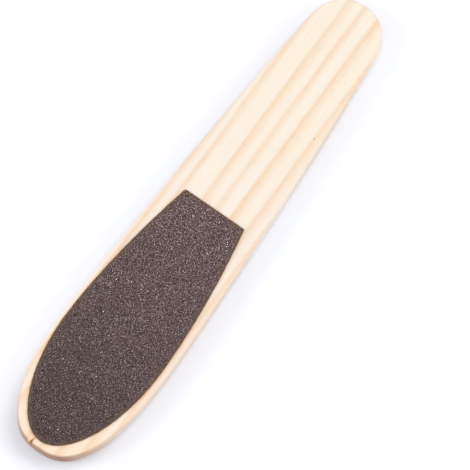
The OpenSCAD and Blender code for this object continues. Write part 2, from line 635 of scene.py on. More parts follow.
        dull = r.sum(self.dullness[0], r.times(streaks, self.dullness[1]))
        grain = r.sum(*map(r.times, (streaks, fibres, canals), self.grain_mix))
        normal = r.relief(r.noise(self.scuffs), self.scuff_depth, r.relief(grain, self.grain_depth))
        r.surface(Base_Color=colour, Roughness=dull, Normal=normal, Specular_IOR_Level=0.3)
        return r.material


@dataclass(frozen=True)
class GritFinish:
    """Abrasive grains held in resin, each grain with a tone of its own.

    Attributes:
        name: The material's name.
        tones: Colours of the grains, from the darkest to the white of the few painted glints.
        resin: Colour between the grains, partly the resin's own and partly painted shade in the hollows.
        rim: Colour where the sheet was cut.
        crystal: Size of the facets on a grain, in millimetres.
        crystal_depth, shine: Depth of the facets as a share of that size, and their roughness.
        in_resin_and_shade, resin_and_shade_shown: Which heights lie low in the resin, and the share of its
        colour there, partly the resin's own and partly painted shade in the hollows.
        painted_light_along: What the coat is multiplied by from the sheet's tip to the cut end, painted
            shade at the tip and painted light at the cut end.
        clouds, cloudy: Broad darker clouds, and what they multiply the coat by.
        specks, specked: Fine specks, and what they multiply it by.
        crumbs, browned: How unevenly the brown of the rim reaches in, and the share of it that shows.
        blots, blotted: Dark blots in that brown, and what they multiply it by.
    """

    name: str
    tones: Stops
    resin: Colour
    rim: Colour
    crystal: float
    crystal_depth: float = 0.35
    shine: Span = (0.35, 0.65, 0.3, 0.62)
    in_resin_and_shade: Span = (0.45, 0.05)
    resin_and_shade_shown: float = 0.75
    painted_light_along: Stops = ((0, (0.78, 0.755, 0.75)), (1, (1.4, 1.4, 1.4)))
    clouds: Noise = Noise((7, 7, 7), detail=3, roughness=0.6)
    cloudy: Stops = ((0.3, (0.93, 0.91, 0.91)), (0.5, (1, 0.99, 0.98)), (0.7, WHITE))
    specks: Noise = Noise((0.2, 0.2, 0.2), detail=1, start=(7, 3, 9))
    specked: Stops = ((0.36, (0.69, 0.66, 0.65)), (0.64, (1.26, 1.29, 1.29)))
    crumbs: tuple[Noise, float] = (Noise((0.8, 0.8, 0.8), detail=3, roughness=0.7, start=(4, 4, 4)), 1.6)
    browned: Span = (0.15, 1.0, 0, 0.75)
    blots: Noise = Noise((1.1, 1.1, 1.1), detail=3, roughness=0.7, start=(9, 2, 6))
    blotted: Stops = ((0.4, (0.42, 0.42, 0.42)), (0.56, (1.1, 1.1, 1.1)))

    def make(self) -> bpy.types.Material:
        """Writes the material.

        Returns:
            The material.
        """
        r = Recipe(self.name)
        colour = r.ramp(r.value_of("tone"), self.tones)
        colour = r.mottled(colour, r.noise(self.clouds), self.cloudy)
        # Painted light along the sheet: darker at the tip, brighter towards the cut end.
        colour = r.mottled(colour, r.value_of("along_share"), self.painted_light_along)
        colour = r.mottled(colour, r.noise(self.specks), self.specked)
        # Low places take the resin's colour, which is partly painted shade in the hollows between grains.
        sunk = r.step(r.value_of("lift"), *self.in_resin_and_shade)
        colour = r.blend(r.times(sunk, self.resin_and_shade_shown), colour, self.resin)
        edge = r.sum(r.value_of("rim_share"), r.centred(*self.crumbs))
        brown = r.mottled(self.rim, r.noise(self.blots), self.blotted)
        colour = r.blend(r.step(edge, *self.browned), colour, brown)
        facets = r.noise(Noise((self.crystal,) * 3, roughness=0.7))
        rough = r.step(facets, *self.shine)
        normal = r.relief(facets, self.crystal * MM * self.crystal_depth)
        r.surface(Base_Color=colour, Roughness=rough, Normal=normal, Specular_IOR_Level=0.3)
        return r.material


@dataclass(frozen=True)
class BackingFinish:
    """Stiff brown backing paper, with loose fibres along its cut edge.

    Attributes:
        paper, fibre, cut: Colours of its faces, of its paler fibres and of its cut edge.
        cut_shown: Share of the last colour on the cut edge.
        fibres, fibre_depth: The fibres, and their depth.
        pale, dull: Share of the paler colour and roughness along the fibres.
        mottle, shade: Darker and paler spots, and what they multiply the paper by.
    """

    paper: Colour = paint(108, 78, 56)
    fibre: Colour = paint(152, 116, 84)
    cut: Colour = paint(98, 67, 47)
    cut_shown: float = 0.75
    fibres: Noise = Noise((0.9, 0.16, 0.08), detail=3, roughness=0.65)
    fibre_depth: float = 0.05 * MM
    pale: Span = (0.42, 0.66, 0, 0.6)
    dull: Span = (0.3, 0.7, 0.66, 0.82)
    mottle: Noise = Noise((1.2, 1.2, 0.6), detail=3, roughness=0.6, start=(2, 2, 2))
    shade: Stops = ((0.36, (0.55, 0.52, 0.5)), (0.6, (1.1, 1.08, 1.05)))

    def make(self) -> bpy.types.Material:
        """Writes the material.

        Returns:
            The material.
        """
        r = Recipe("brown_backing_paper")
        fibres = r.noise(self.fibres)
        colour = r.blend(r.step(fibres, *self.pale), self.paper, self.fibre)
        colour = r.blend(r.times(r.value_of("cut_share"), self.cut_shown), colour, self.cut)
        colour = r.mottled(colour, r.noise(self.mottle), self.shade)
        normal, dull = r.relief(fibres, self.fibre_depth), r.step(fibres, *self.dull)
        r.surface(Base_Color=colour, Roughness=dull, Normal=normal, Specular_IOR_Level=0.25)
        return r.material


@dataclass(frozen=True)
class GlueFinish:
    """Hard amber glue with fine bubbles.

    Attributes:
        clear, thick: Colours where it is thin and where it is thick.
        flow, thickened: How its thickness varies, and the share of the thick colour.
        bubbles, bubbled, shine: The bubbles, the share of the clear colour in them, and the roughness.
        depth, bubble_height: Depth of its relief, and what the bubbles add to it.
    """

    clear: Colour = paint(206, 168, 112)
    thick: Colour = paint(168, 120, 66)
    flow: Noise = Noise((3, 3, 1), detail=3)
    thickened: Span = (0.35, 0.65)
    bubbles: Noise = Noise((0.2, 0.2, 0.2), detail=1, start=(6, 1, 3))
    bubbled: Span = (0.62, 0.72, 0, 0.4)
    shine: Span = (0.4, 0.7, 0.28, 0.45)
    depth: float = 0.05 * MM
    bubble_height: float = 0.2

    def make(self) -> bpy.types.Material:
        """Writes the material.

        Returns:
            The material.
        """
        r = Recipe("amber_glue")
        flow, bubbles = r.noise(self.flow), r.noise(self.bubbles)
        colour = r.blend(r.step(flow, *self.thickened), self.clear, self.thick)
        colour = r.blend(r.step(bubbles, *self.bubbled), colour, self.clear)
        normal = r.relief(r.sum(flow, r.times(bubbles, self.bubble_height)), self.depth)
        rough = r.step(bubbles, *self.shine)
        r.surface(Base_Color=colour, Roughness=rough, Normal=normal, Specular_IOR_Level=0.5)
        return r.material


@dataclass(frozen=True)
class BoardPlan:
    """Plan of the board, with x counted from its tip.

    Its half width is a flank that falls off behind the widest place as a power of the distance, times
    the share that each rounded end leaves.

    Attributes:
        tip_x: Place of the tip in the model's frame.
        length, width: Overall length, and width at the widest place.
        widest_at: From the tip to the widest place.
        handle_width: Width that the taper reaches at the handle end.
        handle_round: Length of the rounded handle end.
        tip_power, handle_power: Fullness of the two ends, 2 being an ellipse.
        flank_power: Steepness of the taper, 1 being straight.
        tip_steps, flank_steps, handle_steps: Steps of the outline along its three parts.
    """

    tip_x: float
    length: float
    width: float
    widest_at: float = 62 * MM
    handle_width: float = 32.2 * MM
    handle_round: float = 20.5 * MM
    tip_power: float = 2.54
    handle_power: float = 2.41
    flank_power: float = 1.45
    tip_steps: int = 64
    flank_steps: int = 90
    handle_steps: int = 44

    def half(self, x: Array) -> Array:
        """Works out the half width.

        Args:
            x: Distance from the tip.

        Returns:
            The half width there.
        """
        k = np.clip((x - self.widest_at) / (self.length - self.widest_at), 0, 1)
        body = mix(self.width / 2, self.handle_width / 2, k**self.flank_power)
        tip = round_share((self.widest_at - x) / self.widest_at, self.tip_power)
        heel = round_share((x - self.length + self.handle_round) / self.handle_round, self.handle_power)
        return body * tip * heel

    def tip_curve_x(self, y: Array) -> Array:
        """Gives the x at which the tip's curve is y from the middle, the other way round from half."""
        share = np.abs(y) / (self.width / 2)
        return self.widest_at * (1 - round_share(share, self.tip_power))

    def loop(self, more: Array) -> Array:
        """Draws the outline counterclockwise, out along the right side and back along the left.

        Args:
            more: Places along the board that get points besides its own.

        Returns:
            The points in the model's frame.
        """
        nose = self.widest_at * (1 - np.cos(np.linspace(0, QUARTER, self.tip_steps + 1)))
        flanks = np.linspace(self.widest_at, self.length - self.handle_round, self.flank_steps + 1)
        heel = 1 - np.sin(np.linspace(0, QUARTER, self.handle_steps + 1))
        x = np.concatenate([nose, flanks, self.length - self.handle_round * heel, more])
        x = np.unique(np.round(x, 9))
        right = np.column_stack([x + self.tip_x, -self.half(x)])
        return np.concatenate([right, (right * [1, -1])[-2:0:-1]])


@dataclass(frozen=True)
class WoodenPaddle:
    """The board: one closed surface of rings.

    The first parameter runs round the outline and the second from the middle of the rear face, out to
    its edge, up the side and back in to the middle of the front face. Each edge is a quarter circle.
    On the faces a ring lies part of the way from the edge to a line along the board's middle. Sanding
    leaves the edge radius and the outline uneven by a few sines, always inwards. At the split the
    rings are pushed along the fibres by a depth that falls off to both sides of its middle and down the
    side, uneven by a few sines as the fibres tore. A hair-thin groove carries on from it in the front
    face.

    Attributes:
        plan: The board's outline.
        rear_z, front_z: Heights of the two faces.
        edge_radius, edge_uneven: Radius of the sanded edges, and the share that it varies by.
        sanding: How far the sanding strays from the outline.
        middle_gap: From the board's tip, and from its handle end, to the line along its middle.
        split_y: Where the split starts across the board.
        split_depth, split_gap: How far its notch runs in, and the notch's width at the mouth.
        split_foot, split_full: Shares of the thickness at which the notch starts and is full.
        split_spread, split_points: How far to both sides of its middle the outline has points for it,
            as a share of split_gap, and how many.
        torn, torn_every: Share of its depth that it varies by, and the width over which that repeats.
        hair_gap, hair_depth: Width and depth of the groove that carries on from the notch.
        split_reach, hair_reach: How far in the notch and the groove end on a face, as shares of the
            way to the middle line.
        cracked: What the depths of the two are multiplied by to give the share of torn wood with painted
            shade in the split and the groove.
        on_face: How far under the front face a point still counts as on it.
        end_grain: How far a wall faces along the fibres, from 0 to 1, where end grain, with painted shade
            on it, starts to show and is full.
        heel_end: Share of that tone of end grain and painted shade that the handle end, which faces a
            light, has next to the tip's.
        speck_at: Place of the dark speck on the front face.
        face_shares: How far in each ring of a face lies, as a share of the way to the middle line.
        edge_steps, side_steps: Steps round an edge and up the side.
    """

    plan: BoardPlan
    rear_z: float
    front_z: float
    edge_radius: float = 1.0 * MM
    edge_uneven: float = 0.13
    sanding: float = 0.06 * MM
    middle_gap: tuple[float, float] = (30 * MM, 20 * MM)
    split_y: float = 4.1 * MM
    split_depth: float = 1.2 * MM
    split_gap: float = 1.6 * MM
    split_foot: float = 0.3
    split_full: float = 0.8
    split_spread: float = 0.8
    split_points: int = 33
    torn: float = 0.3
    torn_every: float = 2.3 * MM
    hair_gap: float = 0.32 * MM
    hair_depth: float = 0.06 * MM
    split_reach: float = 1 / 9
    hair_reach: float = 0.2
    cracked: tuple[float, float] = (1.6, 0.75)
    on_face: float = 0.01 * MM
    end_grain: tuple[float, float] = (0.15, 0.85)
    heel_end: float = 0.3
    speck_at: tuple[float, float] = (61 * MM, -17.3 * MM)
    face_shares: tuple[float, ...] = (0.04, 0.09, 0.16, 0.3, 0.48, 0.68, 0.86, 1.0)
    edge_steps: int = 7
    side_steps: int = 5

    def profile(self) -> tuple[Array, ...]:
        """Draws the section from the middle of the rear face to the middle of the front face.

        Returns:
            For each ring its inset as a share of the edge radius, its height over the rear face less
            any edge radius, that edge radius's share of the height, and its share of the way in to
            the middle line.
        """
        turn = np.linspace(0, QUARTER, self.edge_steps + 1)
        wall = np.linspace(0, 1, self.side_steps + 1)[1:-1]
        shares = np.array(self.face_shares)
        thickness = self.front_z - self.rear_z
        flat, bent = 0 * shares, 0 * turn
        inset = (flat + 1, 1 - np.sin(turn), 0 * wall, 1 - np.cos(turn), flat + 1)
        height = (flat, bent, thickness * wall, bent + thickness, flat + thickness)
        radius = (flat, 1 - np.cos(turn), 1 - 2 * wall, np.sin(turn) - 1, flat)
        inner = (shares[::-1], bent, 0 * wall, bent, shares)
        return tuple(np.concatenate(part)[:, None] for part in (inset, height, radius, inner))

    def split_at(self, loop: Array, z: Array, inner: Array) -> tuple[Array, Array]:
        """Works out the split at the tip.

        Args:
            loop: The outline.
            z: Height of each point of each ring.
            inner: Each ring's share of the way in to the middle line.

        Returns:
            How deep the notch is at each point, and how deep the hair-thin groove is, from 0 to 1.
        """
        at_tip = loop[:, 0] < self.plan.tip_x + self.plan.widest_at
        away = np.where(at_tip, np.abs(loop[:, 1] - self.split_y), np.inf)
        ragged = 1 + self.torn * waves(loop[:, 1] / self.torn_every, (1, 3, 7), seed=13)
        across = np.clip(1 - away / (self.split_gap / 2), 0, 1) * ragged
        up = (z - self.rear_z) / (self.front_z - self.rear_z) - self.split_foot
        upper = np.clip(up / (self.split_full - self.split_foot), 0, 1)
        on_front = (z > self.front_z - self.on_face).all(axis=1, keepdims=True)
        hair = np.clip(1 - away / (self.hair_gap / 2), 0, 1) * (on_front & (inner < self.hair_reach))
        return across * upper * np.clip(1 - inner / self.split_reach, 0, 1), hair

    def skin(self) -> Skin:
        """Works out the board's surface.

        Returns:
            The surface, with the shares of painted shade on the side walls, of end grain with painted shade
            on the ends, and of torn wood with painted shade in the split, at its points.
        """
        plan, tip_x = self.plan, self.plan.tip_x
        spread = self.split_gap * np.linspace(-self.split_spread, self.split_spread, self.split_points)
        loop = plan.loop(plan.tip_curve_x(self.split_y + spread))
        into, along = inward(loop), along_loop(loop)
        radius = self.edge_radius * (1 + self.edge_uneven * waves(along, (3, 8, 17, 31), seed=5))
        strayed = self.sanding * (1 + waves(along, (5, 12, 23, 41), seed=9)) / 2
        inset, height, radius_part, inner = self.profile()
        along_x = (loop[:, 0] - tip_x) / plan.length
        from_tip, from_end = self.middle_gap
        middle_x = mix(tip_x + from_tip, tip_x + plan.length - from_end, along_x)
        middle = np.column_stack([middle_x, 0 * middle_x])
        flat = mix(loop + into * (inset * radius + strayed)[..., None], middle, inner[..., None])
        z = self.rear_z + height + radius_part * radius
        notch, hair = self.split_at(loop, z, inner)
        flat[..., 0] += notch * self.split_depth
        points = np.concatenate([flat, (z - hair * self.hair_depth)[..., None]], axis=-1).reshape(-1, 3)

        # The first and last ring lie on the middle line, where both sides share their points.
        number = np.arange(z.size).reshape(z.shape)
        twin = np.minimum(number[0], len(loop) - number[0])
        number[0], number[-1] = twin, number[-1, 0] + twin

        # Shares of the walls that get painted shade; on the ends it comes with the end grain's own tone,
        # and the handle end, which faces a light, gets less.
        wall_share = np.clip(1 - inset, 0, 1) * np.ones(len(loop))
        shown, full = self.end_grain
        facing_end = np.clip((np.abs(into[:, 0]) - shown) / (full - shown), 0, 1)
        end_grain_and_shade_share = wall_share * facing_end * np.where(along_x > 0.5, self.heel_end, 1)
        # Torn wood with painted shade in the notch and in the groove.
        split_torn_and_shade_share = np.maximum(np.clip(notch * self.cracked[0], 0, 1), self.cracked[1] * hair)
        shares = {"flank_shade_share": wall_share - end_grain_and_shade_share, "end_grain_and_shade_share": end_grain_and_shade_share, "split_torn_and_shade_share": split_torn_and_shade_share}
        on_points = {name: share.ravel() for name, share in shares.items()}
        return Skin(points, [ring_quads(number)], on_points).compacted()

    def build(self) -> None:
        """Makes the board, dressed, in place of its CAD node."""
        piece = self.skin().make("sanded_paddle", SoftwoodFinish().make(self), smooth_below=50)
        fitted(piece, "wooden_paddle")


class Side(Enum):
    """The face of the board that a sheet is glued to, with the word that its pieces start with."""

    FRONT = "front"
    REAR = "rear"


@dataclass(frozen=True)
class SheetPlan:
    """Plan of a layer of an abrasive sheet.

    Its half width is a flank behind the widest place times the share that the rounded tip leaves, and
    the square-cut end has small round corners. In all methods x is counted from the layer's own tip
    and y from the sheet's own middle line.

    Attributes:
        tip_x: Place of the sheet's tip in the model's frame, before it is turned and slipped.
        cut_width: Width that the flanks reach at the square-cut end.
        turn: How far the sheet is turned about its middle, in radians.
        slip: How far it lies off the board's middle line.
        inset: How far the layer is drawn in from the sheet's edge.
        length, width: The sheet's length, and its width at the widest place.
        widest_at: From its tip to the widest place.
        corner: Radius of the corners at the square-cut end.
        tip_power: Fullness of the tip, 2 being an ellipse.
        flank_power: Steepness of the taper, 1 being straight.
        step: Distance between the points of the outline along the flanks and the cut.
        blunt, blunt_points: Length of the tip with points close together, and their number.
        corner_points: Number of points round a corner.
        nudge, rounds: Step over which a slope is measured, and rounds of Newton's method.
    """

    tip_x: float
    cut_width: float
    turn: float
    slip: float
    inset: float = 0.0
    length: float = 131 * MM
    width: float = 50 * MM
    widest_at: float = 54 * MM
    corner: float = 0.9 * MM
    tip_power: float = 1.95
    flank_power: float = 1.79
    step: float = 0.5 * MM
    blunt: float = 1.5 * MM
    blunt_points: int = 10
    corner_points: int = 9
    nudge: float = 0.001 * MM
    rounds: int = 5

    @property
    def end(self) -> float:
        """Gives the layer's own length."""
        return self.length - 2 * self.inset

    def half(self, x: Array) -> Array:
        """Works out the half width. Past the start of a corner it is that place's, less the corner.

        Args:
            x: Distance from the layer's tip.

        Returns:
            The half width there.
        """
        nose, start = self.widest_at - self.inset, self.end - self.corner
        held = np.minimum(x, start)
        k = np.clip((held - nose) / (self.length - self.widest_at), 0, 1)
        body = mix(self.width / 2, self.cut_width / 2, k**self.flank_power) - self.inset
        past = np.clip(x - start, 0, self.corner)
        lost = self.corner - np.sqrt(self.corner**2 - past**2)
        return body * round_share((nose - held) / nose, self.tip_power) - lost

    def edge_gap(self, x: Array, y: Array) -> Array:
        """Works out how far points lie inside the layer's edge, below zero outside it.

        On the rounded tip it is the gap in the curve's own formula over that formula's slope, and
        behind it the gap to the flank over the flank's slope. The cut end has round corners.

        Args:
            x, y: The points.

        Returns:
            The distances.
        """
        nose, wide = self.widest_at - self.inset, self.width / 2 - self.inset
        power = self.tip_power
        t, v = np.clip((nose - x) / nose, 0, None), np.abs(y) / wide
        steep = power * np.hypot(t ** (power - 1) / nose, v ** (power - 1) / wide)
        round_gap = (1 - t**power - v**power) / np.maximum(steep, 1)
        taper, fall = self.length - self.widest_at, (self.width - self.cut_width) / 2
        k = np.clip((x - nose) / taper, 0, None)
        slope = fall * self.flank_power * k ** (self.flank_power - 1) / taper
        flank_gap = (wide - fall * k**self.flank_power - np.abs(y)) / np.hypot(1, slope)
        side, end = np.where(x < nose, round_gap, flank_gap), self.end - x
        short_side, short_end = (np.clip(self.corner - gap, 0, None) for gap in (side, end))
        in_corner = (short_side > 0) & (short_end > 0)
        return np.where(in_corner, self.corner - np.hypot(short_side, short_end), np.minimum(side, end))

    def moved_to_edge(self, x: Array, y: Array, left_out: Array) -> tuple[Array, Array]:
        """Moves points square to the layer's edge, by Newton's method on the gap to it.

        Args:
            x, y: The points.
            left_out: How far inside the edge each point ends.

        Returns:
            The points' new x and y.
        """
        for _ in range(self.rounds):
            here = self.edge_gap(x, y)
            slope_x = self.edge_gap(x + self.nudge, y) - here
            slope_y = self.edge_gap(x, y + self.nudge) - here
            move = (here - left_out) * self.nudge / (slope_x**2 + slope_y**2)
            x, y = x - move * slope_x, y - move * slope_y
        return x, y

    def placed(self, x: Array, y: Array) -> tuple[Array, Array]:
        """Turns and slips points into the model's frame.

        Args:
            x, y: The points.

        Returns:
            Their x and y in the model's frame.
        """
        off = x + self.inset - self.length / 2
        cos, sin = math.cos(self.turn), math.sin(self.turn)
        return self.tip_x + self.length / 2 + off * cos - y * sin, self.slip + off * sin + y * cos

    def loop(self) -> Array:
        """Draws the layer's edge counterclockwise, with points close together at the tip and corners.

        Returns:
            The points in the model's frame.
        """
        near = self.blunt * np.linspace(0, 1, self.blunt_points) ** 2
        turned = self.end - self.corner * (1 - np.sin(np.linspace(0, QUARTER, self.corner_points)))
        even = np.linspace(0, self.end, int(self.end / self.step))
        x = np.concatenate([near, even[(even > near[-1]) & (even < turned[0])], turned])
        y = self.half(x)
        cut = np.linspace(-y[-1], y[-1], int(2 * y[-1] / self.step))[1:-1]
        round_x = np.concatenate([x, np.full(len(cut), self.end), x[:0:-1]])
        return np.column_stack(self.placed(round_x, np.concatenate([-y, cut, y[:0:-1]])))


@dataclass(frozen=True)
class GrainField:
    """Grains scattered at random, one in each square of a lattice.

    A point belongs to its nearest grain. Its height is the grain's own height plus the grain's tilt
    times the distance, and it falls off towards the border with the second nearest grain.

    Attributes:
        pitch, seed: Side of the lattice's squares, and seed of the grains.
        tilt: Greatest slope of a grain's top.
        groove: Width of the gap between grains, as a share of the pitch.
        repeat: Number of squares after which the lattice repeats, more than a sheet is long.
        evenness: Share of the mean tone round a grain that its own tone gives up.
        blur: Rounds of smoothing that give that mean.
        lowest, sunk: Height of the lowest grain's middle, and share of the height left at a border.
    """

    pitch: float
    seed: int
    tilt: float
    groove: float = 0.4
    repeat: int = 700
    evenness: float = 0.8
    blur: int = 4
    lowest: float = 0.45
    sunk: float = 0.25

    def mixed(self, tone: Array) -> Array:
        """Mixes dark and pale grains evenly over the coat.

        Each grain's tone gives up a share of the smoothed tone round it, and then the tones are spread
        out again from 0 to 1 in their order.

        Args:
            tone: Random tones on the lattice.

        Returns:
            The mixed tones.
        """
        around = eased_round(eased_round(tone, self.blur, 0), self.blur, 1)
        order = np.argsort(tone - self.evenness * around, axis=None)
        spread = np.empty(tone.size)
        spread[order] = np.arange(tone.size) / tone.size
        return spread.reshape(tone.shape)

    def sample(self, x: Array, y: Array) -> tuple[Array, Array]:
        """Finds the grain at each point.

        Args:
            x, y: The points.

        Returns:
            The height of each point, from 0 to 1, and the tone of its grain, from 0 to 1.
        """
        u, v = x / self.pitch, y / self.pitch
        rng = np.random.default_rng(self.seed)
        seat_u, seat_v, level, tone, lean_u, lean_v = rng.random((6, self.repeat, self.repeat))
        tone = self.mixed(tone)
        nearest, second = np.full((2, *x.shape), np.inf)
        height, shade = np.zeros((2, *x.shape))
        for du in (-1, 0, 1):
            for dv in (-1, 0, 1):
                i, j = u.astype(int) + du, v.astype(int) + dv
                off_u, off_v = u - i, v - j
                i, j = i % self.repeat, j % self.repeat
                off_u, off_v = off_u - seat_u[i, j], off_v - seat_v[i, j]
                away = np.hypot(off_u, off_v)
                closer = away < nearest
                slope = (2 * lean_u[i, j] - 1) * off_u + (2 * lean_v[i, j] - 1) * off_v
                top = mix(self.lowest, 1, level[i, j]) + self.tilt * slope
                second = np.where(closer, nearest, np.minimum(second, away))
                nearest = np.where(closer, away, nearest)
                height = np.where(closer, top, height)
                shade = np.where(closer, tone[i, j], shade)
        border = np.clip((second - nearest) / self.groove, 0, 1)
        return np.clip(height * mix(self.sunk, 1, border), 0, 1), shade


@dataclass(frozen=True)
class Coating:
    """What a sheet's coat of grit is like.

    Attributes:
        grains: The field of grains.
        finish: Their material.
        slot: Name of a material slot, which is not used.
        step: Distance between the coat's mesh points.
        low: Lowest place of the coat, as a share of its thickness.
        facet: How far the tones of one grain's faces differ, as a share of the whole range.
        painted_glints: Share of the grains given a tone of 1, white painted glints.
        brightest: Highest tone of the other grains.
    """

    grains: GrainField
    finish: GritFinish
    slot: str
    step: float
    low: float
    facet: float = 0.35
    painted_glints: float = 0.001
    brightest: float = 0.98


COARSE = Coating(
    grains=GrainField(pitch=0.3 * MM, seed=71, tilt=0.6),
    finish=GritFinish(
        name="coarse_brown_grit",
        tones=(
            (0.0, paint(20, 0, 0)),
            (0.3, paint(47, 27, 26)),
            (0.6, paint(86, 69, 69)),
            (0.85, paint(110, 92, 92)),
            (0.96, paint(132, 115, 115)),
            (0.98, paint(170, 154, 154)),
            # The last stop is the white of the painted glints.
            (1.0, paint(255, 240, 240)),
        ),
        resin=paint(46, 27, 25),
        rim=paint(106, 79, 58),
        crystal=0.16,
    ),
    slot="coarse_grit",
    step=0.24 * MM,
    low=0.18,
)
FINE = Coating(
    grains=GrainField(pitch=0.27 * MM, seed=72, tilt=0.35),
    finish=GritFinish(
        name="fine_brown_grit",
        tones=(
            (0.0, paint(74, 60, 56)),
            (0.5, paint(98, 82, 78)),
            (0.9, paint(118, 101, 96)),
            (0.98, paint(160, 145, 141)),
            # The last stop is the white of the painted glints.
            (1.0, paint(236, 230, 228)),
        ),
        resin=paint(66, 51, 46),
        rim=paint(112, 80, 54),
        crystal=0.09,
    ),
    slot="fine_grit",
    step=0.26 * MM,
    low=0.4,
)


@dataclass(frozen=True)
class AbrasiveSheet:
    """One sheet of abrasive: a film of glue, a paper backing and a coat of grit.

    It is worked out as if it lay face up on the plane z = 0, the glue lowest, and a sheet on the rear
    is then turned over. Heights come from the three CAD nodes.

    Attributes:
        side: The face of the board that it is glued to.
        plan: The sheet's outline.
        coating: What its grit is like.
        grit_margin, glue_margin: How far the grit and the glue stop short of the backing's edge.
        ragged, clump: How far the grit's edge strays inwards where clumps broke out, and their size.
        broken: How far single points of the edge stray further.
        overhang: How far the lattice may pass the edge before its rim is moved, as a share of its step.
        stray: How far its other points stray, as a share of its step.
        rim_low, rim_slope: Share of the grains' height left at the edge, and how far in it is full.
        rim_brown: Width of the strip in which the coat turns brown.
        burr: How far the backing's cut edge strays inwards.
        pressed: How far the glue's edge strays in all, as a share of glue_margin.
        edge_numbers: How many random numbers an edge draws, more than it has points.
        hollow: How far each ring of that edge lies in, from the lowest up. The glue's bulges as far.
    """

    side: Side
    plan: SheetPlan
    coating: Coating
    grit_margin: float = 0.3 * MM
    glue_margin: float = 0.6 * MM
    ragged: float = 0.26 * MM
    clump: float = 1.3 * MM
    broken: float = 0.12 * MM
    overhang: float = 0.3
    stray: float = 0.32
    rim_low: float = 0.35
    rim_slope: float = 0.5 * MM
    rim_brown: float = 2.2 * MM
    burr: float = 0.2 * MM
    pressed: float = 0.9
    edge_numbers: int = 4096
    hollow: tuple[float, ...] = (0.0, 0.03 * MM, 0.04 * MM, 0.02 * MM, 0.0)

    @property
    def grit_plan(self) -> SheetPlan:
        """Gives the outline of the coat of grit, with no clumps broken out of it."""
        return replace(self.plan, inset=self.grit_margin)

    def span(self, layer: str) -> tuple[float, float]:
        """Gives the lower and upper height of a layer's CAD node, as if the sheet lay face up."""
        low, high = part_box(f"{self.side.value}_{layer}")
        return (low.z, high.z) if self.side is Side.FRONT else (-high.z, -low.z)

    def broken_out(self, x: Array, y: Array) -> Array:
        """Works out how far the grit stops short of its edge near points.

        Random numbers sit on a lattice as wide as a clump, and between them the value eases from one
        to the next, first along x and then along y.

        Args:
            x, y: The points.

        Returns:
            The distances, from 0 to ragged.
        """
        spare = 4
        knots_across = int(self.plan.length / self.clump) + 3 * spare
        knots = np.random.default_rng(self.coating.grains.seed + 4).random((knots_across, knots_across))
        u, v = x / self.clump + spare, (y + self.plan.width) / self.clump
        i, j = u.astype(int), v.astype(int)
        s, t = eased(u - i), eased(v - j)
        before, after = (mix(knots[i, j + k], knots[i + 1, j + k], s) for k in (0, 1))
        return self.ragged * mix(before, after, t)

    def room(self, x: Array, y: Array) -> Array:
        """Gives how far points lie inside the grit's ragged edge, below zero outside it."""
        return self.grit_plan.edge_gap(x, y) - self.broken_out(x, y)

    def grains_at(self, x: Array, y: Array) -> tuple[Array, Array]:
        """Samples the field of grains, which starts well outside the sheet."""
        return self.coating.grains.sample(x - self.plan.tip_x + self.plan.width, y + self.plan.width)

    def coat(self) -> Skin:
        """Works out the coat of grit.

        The parameters run along and across the sheet on an even lattice, whose squares are kept where
        all four corners lie inside the ragged edge or just past it. Their rim is smoothed and moved
        square to the edge until it lies on it, or further in where single grains broke out. The other
        points stray at random, less so near the rim. The height over the backing comes from the field
        of grains and falls off in a narrow strip along the edge. A wall goes straight down from the
        rim, and one flat face closes the underside. A face has the tone of the grain at its middle,
        give or take a random part.

        Returns:
            The coat's surface.
        """
        base, peak = self.span("grit_coat")
        coating, plan, step = self.coating, self.grit_plan, self.coating.step
        rng = np.random.default_rng(coating.grains.seed + 1)
        along = (np.arange(int(plan.end / step) + 3) - 0.5) * step
        columns = int(plan.width / step) + 3
        across = (np.arange(columns) - (columns - 1) / 2) * step
        x, y = np.meshgrid(along, across, indexing="ij")
        room = self.room(x, y)
        kept = squares(room > -self.overhang * step).all(axis=-1)
        quads = squares(np.arange(x.size).reshape(x.shape))[kept]
        edge = rim_of(quads)

        free = np.clip(room / (2 * step), 0, 1)
        stray = rng.uniform(-self.stray, self.stray, (2, *x.shape)) * step * free
        rim_x, rim_y = eased_round(x.flat[edge]), eased_round(y.flat[edge])
        lost = self.broken_out(rim_x, rim_y) + self.broken * rng.random(len(edge)) ** 2
        x, y = x + stray[0], y + stray[1]
        x.flat[edge], y.flat[edge] = plan.moved_to_edge(rim_x, rim_y, lost)

        to_edge = np.maximum(self.room(x, y), 0)
        place = plan.placed(x, y)
        lift = self.grains_at(*place)[0] * mix(self.rim_low, 1, np.clip(to_edge / self.rim_slope, 0, 1))
        z = mix(base, peak, mix(coating.low, 1, lift))
        points = np.stack([*place, z], axis=-1).reshape(-1, 3)
        under = len(points) + np.arange(len(edge))
        points = np.concatenate([points, points[edge] * [1, 1, 0] + [0, 0, base]])
        wall = np.column_stack([under, np.roll(under, -1), np.roll(edge, -1), edge])
        faces = [quads, wall, under[::-1][None]]

        middles = np.concatenate([points[rows].mean(axis=1) for rows in faces])
        own = self.grains_at(middles[:, 0], middles[:, 1])[1]
        dull = np.clip(own + coating.facet * (rng.random(len(own)) - 0.5), 0, coating.brightest)
        # A few grains get a tone of 1, painted glints.
        tone = np.where(own > 1 - coating.painted_glints, 1, dull)
        along_share = np.clip(x / plan.length, 0, 1).ravel()
        on_points = {
            "lift": np.append(lift, 0 * edge),
            "rim_share": np.append(np.clip(1 - to_edge / self.rim_brown, 0, 1), 0 * edge + 1),
            "along_share": np.append(along_share, along_share[edge]),
        }
        return Skin(points, faces, on_points, {"tone": tone}, self.flat_map(points, faces)).compacted()

